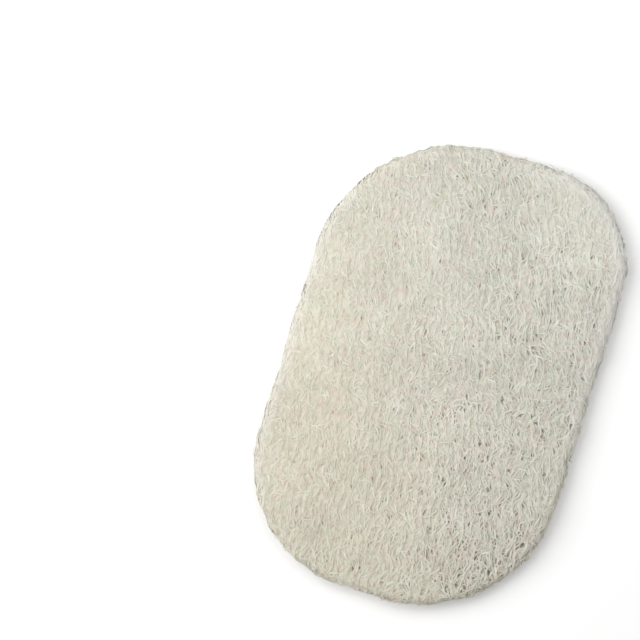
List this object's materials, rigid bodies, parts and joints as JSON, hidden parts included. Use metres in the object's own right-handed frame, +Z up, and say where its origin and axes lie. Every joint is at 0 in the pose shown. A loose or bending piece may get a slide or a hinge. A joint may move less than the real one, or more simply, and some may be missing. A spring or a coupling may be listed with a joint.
{
  "type": "natural loofah sponge pad",
  "caption": "Flat rounded rectangular pad of dried loofah fibre, with a raised net of strands on both faces.",
  "frame": {"origin": "middle of the pad's underside, on the surface that it lies on", "axes": "+Y along the pad's length towards the end with the 33 mm corner on the right, +X across it, +Z up out of the seen face"},
  "size_m": [0.0999, 0.15, 0.0078],
  "materials": {
    "loofah_fibre": "matte"
  },
  "bodies": {
    "root": {"loofah_pad": "loofah_fibre"}
  },
  "joints": []
}
